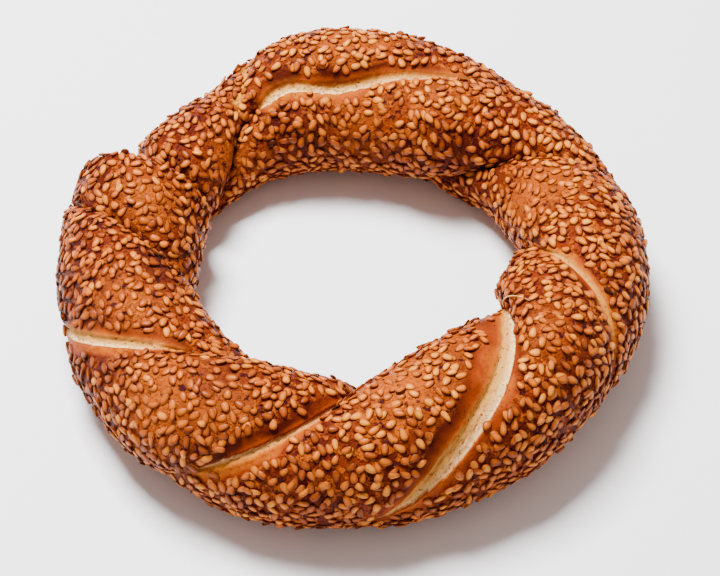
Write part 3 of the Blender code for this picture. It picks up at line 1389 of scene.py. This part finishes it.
@dataclass
class SesameCoat:
    """The coat of seeds, strewn over the crust and instanced by Geometry Nodes.

    Attributes:
        ring: The form that it lies on.
        box: Lowest and highest corners of the part, which it stays in.
        length: Length of a usual seed.
        width: Its width.
        thickness: Its thickness.
        jitter: How far seeds differ from that, as a share.
        spins: How many ways round a seed is tried.
        strewings: The strewings, the lowest first.
        sunk: How deep seeds are pressed in.
        glazed_sunk: How deep they are pressed in where the crust is glazed.
        seam_gap: Least distance from a seam.
        stray: Share of seeds that lie on unseeded skin all the same.
        bare_cover: Strength of a rubbed patch from which it has no seeds.
        roast_spread: How far seeds side by side differ in roast.
        roast_drift: How the roast varies round the ring.
        scorch_and_shade_roast: How much darker seeds lie in a scorched and shaded patch.
        fair_roast: How much less they roasted in a fair one.
        glazed_in: Between which strengths of glaze a seed turns glazed in.
        glazed_roast: What that adds to its roast, to be told by.
        glazed_spread: How much sparser seeds lie in a glazed patch.
        crowding: How their closeness varies.
        disc_reach: How far the outer discs lie from a seed's middle, as a share of its length.
        disc_sizes: Sizes of its three discs, as shares of its width.
        table_gap: Least height over the table.
        past_most: How far the last kind of seed reaches past the darkest roast.
        draw_seed: Seed of the random numbers.
        shapes: The kinds of seed.
        seeds: The seeds laid so far.
        roasts: How far each of them roasted.
    """

    ring: TwistedRing
    box: tuple
    length: float = 3.5 * MM
    width: float = 2.15 * MM
    thickness: float = 0.90 * MM
    jitter: float = 0.15
    spins: int = 3
    strewings: tuple = (
        Strewing(75000, 0.86, 0.0, 0.13),
        Strewing(9000, 1.7, 0.40 * MM, 0.22),
    )
    sunk: float = 0.30 * MM
    glazed_sunk: float = 0.52 * MM
    seam_gap: float = 0.4 * MM
    stray: float = 0.012
    bare_cover: float = 0.45
    roast_spread: float = 0.80
    roast_drift: Waver = Waver(0.5, 11 * MM, 4.4)
    scorch_and_shade_roast: float = 2.2
    fair_roast: float = 0.9
    glazed_in: tuple = (0.10, 1.10)
    glazed_roast: float = -10.0
    glazed_spread: float = 0.10
    crowding: Waver = Waver(0.26, 8 * MM, 2.2)
    disc_reach: float = 0.31
    disc_sizes: tuple = (0.9, 1.0, 0.7)
    table_gap: float = 0.02 * MM
    past_most: float = 1e-6
    draw_seed: int = 11
    shapes: tuple = (SeedShape(0.28, 0.0), SeedShape(0.20, 0.03), SeedShape(0.36, -0.025))
    seeds: list = field(default_factory=list)
    roasts: list = field(default_factory=list)

    def strew(self) -> None:
        """Lays the seeds, one by one, where they fit."""
        draw = np.random.default_rng(self.draw_seed)
        for strewing in self.strewings:
            self.lay_coat(draw, strewing)

    def lay_coat(self, draw: np.random.Generator, strewing: Strewing) -> None:
        """Lays one strewing of seeds.

        Args:
            draw: The random numbers.
            strewing: How they lie.
        """
        tries = strewing.tries
        angle = draw.uniform(0, 360, tries)
        strand = draw.integers(0, 2, tries)
        across = draw.uniform(-1, 1, tries)
        here, points, out = self.ring.skin(angle, strand, across)
        # The outer rim has more crust to each degree, so more of the places there are kept
        far_out = np.hypot(points[:, 0], points[:, 1])
        kept = draw.uniform(0, far_out.max(), tries) < far_out
        covered = np.maximum(here.bare, here.crumb)
        rubbed = self.ring.patch_share(self.ring.rubbed, points) > self.bare_cover
        kept &= (np.maximum(covered, rubbed) < 0.5) | (draw.uniform(0, 1, tries) < self.stray)
        kept &= here.beyond > self.seam_gap
        glaze = self.ring.patch_share(self.ring.glazed, points)
        # Darker patches, partly scorching and partly painted shade, also darken their seeds
        scorch_and_shade = self.ring.patch_share(self.ring.scorched, points)
        fair = self.ring.patch_share(self.ring.fair, points)
        roast = draw.normal(0.0, self.roast_spread, tries) + self.roast_drift.at(points)
        roast = roast + self.scorch_and_shade_roast * scorch_and_shade - self.fair_roast * fair
        roast = np.where(draw.uniform(*self.glazed_in, tries) < glaze, self.glazed_roast + roast, roast)
        spins = draw.uniform(0, 2 * math.pi, (tries, self.spins))
        sizes = 1 + self.jitter * draw.uniform(-1, 1, (tries, 3))
        leans = draw.normal(0.0, strewing.lean, (tries, 2))
        closeness = strewing.closeness * (1 + self.glazed_spread * glaze + self.crowding.at(points))

        bed = SeedBed()
        for n in np.flatnonzero(kept):
            normal = Vector(out[n])
            level = Vector((0.0, 0.0, 1.0)).cross(normal).normalized()
            uphill = normal.cross(level)
            reach = self.disc_reach * self.length * sizes[n, 0]
            radii = 0.5 * self.width * sizes[n, 1] * np.array(self.disc_sizes)
            others = bed.near(points[n])
            for spin in spins[n]:
                forward = math.cos(spin) * level + math.sin(spin) * uphill
                discs = np.column_stack([points[n] + np.outer((-reach, 0.0, reach), forward), radii])
                if bed.fits(discs, others, closeness[n]):
                    break
            else:
                continue
            bed.lay(discs)
            tilt = normal + float(leans[n, 0]) * forward + float(leans[n, 1]) * normal.cross(forward)
            sunk = self.sunk + (self.glazed_sunk - self.sunk) * glaze[n]
            height = 0.5 * self.thickness * sizes[n, 2] - sunk + strewing.lift
            self.seeds.append(self.placed(points[n] + height * out[n], forward, tilt, sizes[n]))
            self.roasts.append(roast[n])

    def placed(self, place: np.ndarray, forward: Vector, up: Vector, size: np.ndarray) -> tuple:
        """One seed's place, turn and size, pressed in where it would stand out of the part's box.

        Args:
            place: Its middle.
            forward: Its pointed end's way, nearly.
            up: The way out of the crust.
            size: Its length, width and thickness, as shares of the usual.

        Returns:
            The place, the turn as Euler angles, and the size, as nine numbers.
        """
        up = up.normalized()
        forward = (forward - forward.dot(up) * up).normalized()
        axes = np.array((forward, up.cross(forward), up))
        true_size = np.array((self.length, self.width, self.thickness)) * size
        reach = 0.5 * np.linalg.norm(axes * true_size[:, None], axis=0)
        low, high = np.array(self.box[0]), np.array(self.box[1])
        place = np.clip(place, low + reach, high - reach)
        turn = Matrix(axes.tolist()).transposed().to_euler()
        return (*place, *turn, *size)

    def tree(self, finish: bpy.types.Material, shapes: list) -> bpy.types.NodeTree:
        """The Geometry Nodes that put a seed at each point.

        Args:
            finish: The seeds' material.
            shapes: The seed shapes' objects.

        Returns:
            The tree.
        """
        tree = bpy.data.node_groups.new("sesame_seeds", "GeometryNodeTree")
        tree.interface.new_socket("Geometry", in_out="INPUT", socket_type="NodeSocketGeometry")
        for name in ("Seed Length", "Seed Width", "Seed Thickness"):
            tree.interface.new_socket(name, in_out="INPUT", socket_type="NodeSocketFloat")
        tree.interface.new_socket("Shape Seed", in_out="INPUT", socket_type="NodeSocketInt")
        tree.interface.new_socket("Geometry", in_out="OUTPUT", socket_type="NodeSocketGeometry")
        given = add_node(tree, "NodeGroupInput").outputs
        turn, size = (
            add_node(tree, "GeometryNodeInputNamedAttribute", {"Name": name}, data_type="FLOAT_VECTOR")
            for name in ("turn", "size")
        )
        inputs = {"X": given["Seed Length"], "Y": given["Seed Width"], "Z": given["Seed Thickness"]}
        usual = add_node(tree, "ShaderNodeCombineXYZ", inputs).outputs[0]
        scale = add_node(tree, "ShaderNodeVectorMath", {0: size.outputs[0], 1: usual}, operation="MULTIPLY")
        inputs = {"Seed": given["Shape Seed"], WHOLE_LEAST: 0, WHOLE_MOST: len(shapes) - 1}
        choice = add_node(tree, "FunctionNodeRandomValue", inputs, data_type="INT").outputs[WHOLE_RESULT]
        kinds = add_node(tree, "GeometryNodeGeometryToInstance")
        for shape in shapes:
            info = add_node(tree, "GeometryNodeObjectInfo", {"Object": shape})
            tree.links.new(info.outputs["Geometry"], kinds.inputs[0])
        inputs = {
            "Points": given["Geometry"],
            "Instance": kinds.outputs[0],
            "Pick Instance": True,
            "Instance Index": choice,
            "Rotation": turn.outputs[0],
            "Scale": scale.outputs[0],
        }
        strewn = add_node(tree, "GeometryNodeInstanceOnPoints", inputs).outputs[0]
        real = add_node(tree, "GeometryNodeRealizeInstances", {"Geometry": strewn}).outputs[0]
        inputs = {"Geometry": real, "Material": finish}
        dressed = add_node(tree, "GeometryNodeSetMaterial", inputs).outputs[0]
        add_node(tree, "NodeGroupOutput", {"Geometry": dressed})
        return tree

    def build_kind(
        self, roast: Roast, rows: np.ndarray, tones: np.ndarray, shapes: list
    ) -> bpy.types.Object:
        """Makes the seeds of one roast as one plain mesh.

        Args:
            roast: How far they roasted.
            rows: Place, turn and size of each.
            tones: How far each varies towards its deeper colour.
            shapes: The seed shapes' objects.

        Returns:
            The piece.
        """
        finish = roast.finish.build()
        points = bpy.data.meshes.new(roast.finish.name)
        points.from_pydata(rows[:, :3], [], [])
        keep_values(points, "turn", rows[:, 3:6])
        keep_values(points, "size", rows[:, 6:9])
        keep_values(points, "tone", tones)
        piece = put_in_scene(roast.finish.name, points)

        modifier = piece.modifiers.new("strew", "NODES")
        modifier.node_group = self.tree(finish, shapes)
        sizes = {
            "Seed Length": self.length,
            "Seed Width": self.width,
            "Seed Thickness": self.thickness,
            "Shape Seed": self.draw_seed,
        }
        for socket in modifier.node_group.interface.items_tree:
            if socket.in_out == "INPUT" and socket.name in sizes:
                modifier[socket.identifier] = sizes[socket.name]
        graph = bpy.context.evaluated_depsgraph_get()
        mesh = bpy.data.meshes.new_from_object(piece.evaluated_get(graph))
        piece.modifiers.remove(modifier)
        piece.data = mesh
        self.press_flat(mesh)
        LOG.info("%s: %d seeds, %d faces", piece.name, len(rows), len(mesh.polygons))
        return piece

    def press_flat(self, mesh: bpy.types.Mesh) -> None:
        """Presses what reaches below the table flat against it.

        Args:
            mesh: The seeds.
        """
        places = np.empty(3 * len(mesh.vertices), np.float32)
        mesh.vertices.foreach_get("co", places)
        places[2::3] = np.maximum(places[2::3], self.table_gap)
        mesh.vertices.foreach_set("co", places)
        mesh.update()

    def build(self) -> list:
        """Builds the coat.

        Returns:
            The pieces, one for each roast.
        """
        self.strew()
        rows, roasts = np.array(self.seeds), np.array(self.roasts)
        shapes = []
        for number, shape in enumerate(self.shapes):
            name = f"seed_shape_{number}"
            shapes.append(bpy.data.objects.new(name, shape.mesh(name)))
        pieces = []
        least = roasts.min()
        for roast in Roast:
            most = min(roast.most, roasts.max() + self.past_most)
            picked = (roasts >= least) & (roasts < most)
            tones = np.clip((roasts[picked] - least) / (most - least), 0.0, 1.0)
            pieces.append(self.build_kind(roast, rows[picked], tones, shapes))
            least = most
        for seed in shapes:
            bpy.data.objects.remove(seed, do_unlink=True)
        return pieces


@dataclass(frozen=True)
class DryStraw:
    """Dry straw: pale and dull, with darker streaks.

    Attributes:
        colour: Its colour.
        dark: Colour of its streaks.
        streak: Where they are.
        roughness: How dull it is.
    """

    colour: str = "#D8A45C"
    dark: str = "#9A6428"
    streak: Grain = Grain(0.6 * MM, 0.45, 0.70)
    roughness: float = 0.6

    def build(self) -> bpy.types.Material:
        """Builds the material.

        Returns:
            The material.
        """
        material, tree, shader = new_material("dry_straw")
        place = add_node(tree, "ShaderNodeTexCoord").outputs["Object"]
        colour = paint(tree, linear(self.colour), [(self.streak.share(tree, place), linear(self.dark))])
        tree.links.new(colour, shader.inputs["Base Color"])
        set_values(shader, {"Roughness": self.roughness})
        return material


@dataclass(frozen=True)
class StrawSliver:
    """A pale sliver of straw that lies bent over the crust.

    Attributes:
        strand: The strand that it lies on.
        start: Ring angle and place across the strand of its thick end.
        end: Ring angle and place across the strand of its thin end.
        width: How wide it is near its thick end.
        thick_share: Width of its thick end, as a share of that.
        taper: How much of that share it loses towards its thin end.
        flatness: How thick it is, as a share of its width.
        lift: How high its ends stand over the crust.
        rise: How much higher its middle stands.
        steps: Places along it.
        sides: Points round it.
    """

    strand: int = 0
    start: tuple = (330.5, 0.93)
    end: tuple = (326.0, 0.50)
    width: float = 0.75 * MM
    thick_share: float = 1.05
    taper: float = 0.85
    flatness: float = 0.5
    lift: float = 0.6 * MM
    rise: float = 0.5 * MM
    steps: int = 14
    sides: int = 6

    def build(self, ring: TwistedRing) -> bpy.types.Object:
        """Builds the sliver.

        Args:
            ring: The form that it lies on.

        Returns:
            The piece.
        """
        share = np.linspace(0.0, 1.0, self.steps)
        angles = np.interp(share, (0, 1), (self.start[0], self.end[0]))
        across = np.interp(share, (0, 1), (self.start[1], self.end[1]))
        _, points, out = ring.skin(angles, np.full(self.steps, self.strand), across)
        lift = self.lift + self.rise * np.sin(np.pi * share)
        middle = points + lift[:, None] * out
        along = np.gradient(middle, axis=0)
        along /= np.linalg.norm(along, axis=1, keepdims=True)
        aside = np.cross(along, out)
        thick = 0.5 * self.width * (self.thick_share - self.taper * share)
        rings = []
        for side in range(self.sides):
            spin = 2 * math.pi * side / self.sides
            offset = math.cos(spin) * aside + self.flatness * math.sin(spin) * out
            rings.append(middle + thick[:, None] * offset)
        points = np.stack(rings, axis=1).reshape(-1, 3)
        faces = [tuple(range(self.sides))[::-1]]
        for step in range(self.steps - 1):
            near, far = step * self.sides, (step + 1) * self.sides
            for side in range(self.sides):
                beside = (side + 1) % self.sides
                faces.append((near + side, near + beside, far + beside, far + side))
        faces.append(tuple(range(far, far + self.sides)))
        mesh = bpy.data.meshes.new("straw_sliver")
        mesh.from_pydata(points, [], faces)
        mesh.shade_smooth()
        mesh.materials.append(DryStraw().build())
        sliver = put_in_scene("straw_sliver", mesh)
        LOG.info("straw_sliver: %d faces", len(mesh.polygons))
        return sliver


@dataclass(frozen=True)
class HonedStone:
    """Honed stone: an even, pale and dull table top.

    Attributes:
        colour: Its colour.
        roughness: How dull it is.
    """

    colour: str = "#F2F2F4"
    roughness: float = 0.6

    def build(self) -> bpy.types.Material:
        """Builds the material.

        Returns:
            The material.
        """
        material, _, shader = new_material("honed_stone")
        set_values(shader, {"Base Color": linear(self.colour), "Roughness": self.roughness})
        return material


@dataclass(frozen=True)
class Studio:
    """The pale table, the soft window light from behind on the left, and the camera.

    Attributes:
        floor_size: Length of the table's sides.
        camera_elevation: Degrees by which the camera looks down.
        camera_distance: How far it is from its target.
        camera_target: What it looks at.
        camera_nearest: Nearest distance that it sees.
        lens: Its focal length in millimetres, on Blender's usual sensor.
        key_direction: Way from the simit to the window.
        key_distance: How far the window is.
        key_size: Length of its sides.
        key_power: Its light in watts.
        sky_colour: Colour of the light from all round.
        sky_strength: Strength of that light.
    """

    floor_size: float = 3.0
    camera_elevation: float = 52.0
    camera_distance: float = 620 * MM
    camera_target: tuple = (2.2 * MM, -1.8 * MM, 10 * MM)
    camera_nearest: float = 10 * MM
    lens: float = 106.5
    key_direction: tuple = (-0.25, 0.32, 1.0)
    key_distance: float = 0.9
    key_size: float = 0.34
    key_power: float = 34.5
    sky_colour: str = "#FFEDE6"
    sky_strength: float = 0.60

    def build(self) -> None:
        """Builds the floor, the lights and the camera."""
        self.floor()
        self.window()
        world = bpy.data.worlds.new("studio")
        world.use_nodes = True
        sky = world.node_tree.nodes["Background"]
        set_values(sky, {"Color": linear(self.sky_colour), "Strength": self.sky_strength})
        bpy.context.scene.world = world
        self.camera()

    def floor(self) -> None:
        """A plain pale table top."""
        half = self.floor_size / 2
        mesh = bpy.data.meshes.new("table")
        corners = [(-half, -half, 0), (half, -half, 0), (half, half, 0), (-half, half, 0)]
        mesh.from_pydata(corners, [], [(0, 1, 2, 3)])
        mesh.materials.append(HonedStone().build())
        put_in_scene("table", mesh)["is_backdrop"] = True

    def window(self) -> None:
        """A square area light that faces the simit."""
        data = bpy.data.lights.new("window", "AREA")
        data.energy = self.key_power
        data.size = self.key_size
        lamp = put_in_scene("window", data)
        way = Vector(self.key_direction).normalized()
        lamp.location = self.key_distance * way
        lamp.rotation_euler = way.to_track_quat("Z", "Y").to_euler()

    def camera(self) -> None:
        """The camera at the photograph's angle."""
        data = bpy.data.cameras.new("camera")
        data.lens = self.lens
        data.clip_start = self.camera_nearest
        camera = put_in_scene("camera", data)
        tilt = math.radians(self.camera_elevation)
        back = Vector((0.0, -math.cos(tilt), math.sin(tilt)))
        camera.location = Vector(self.camera_target) + self.camera_distance * back
        camera.rotation_euler = (math.pi / 2 - tilt, 0.0, 0.0)
        bpy.context.scene.camera = camera


def main() -> None:
    """Builds the simit round its frame and lights it."""
    logging.basicConfig(level=logging.INFO, format="%(message)s")
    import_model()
    cad_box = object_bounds()
    Studio().build()
    ring = TwistedRing()
    crust = Crust(ring, BakedCrust()).build()
    seeds = SesameCoat(ring, cad_box).build()
    sliver = StrawSliver().build(ring)
    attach(sliver, BODY)
    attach(crust, BODY)
    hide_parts(NODE)
    for piece in seeds:
        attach(piece, BODY)


if __name__ == "__main__":
    main()
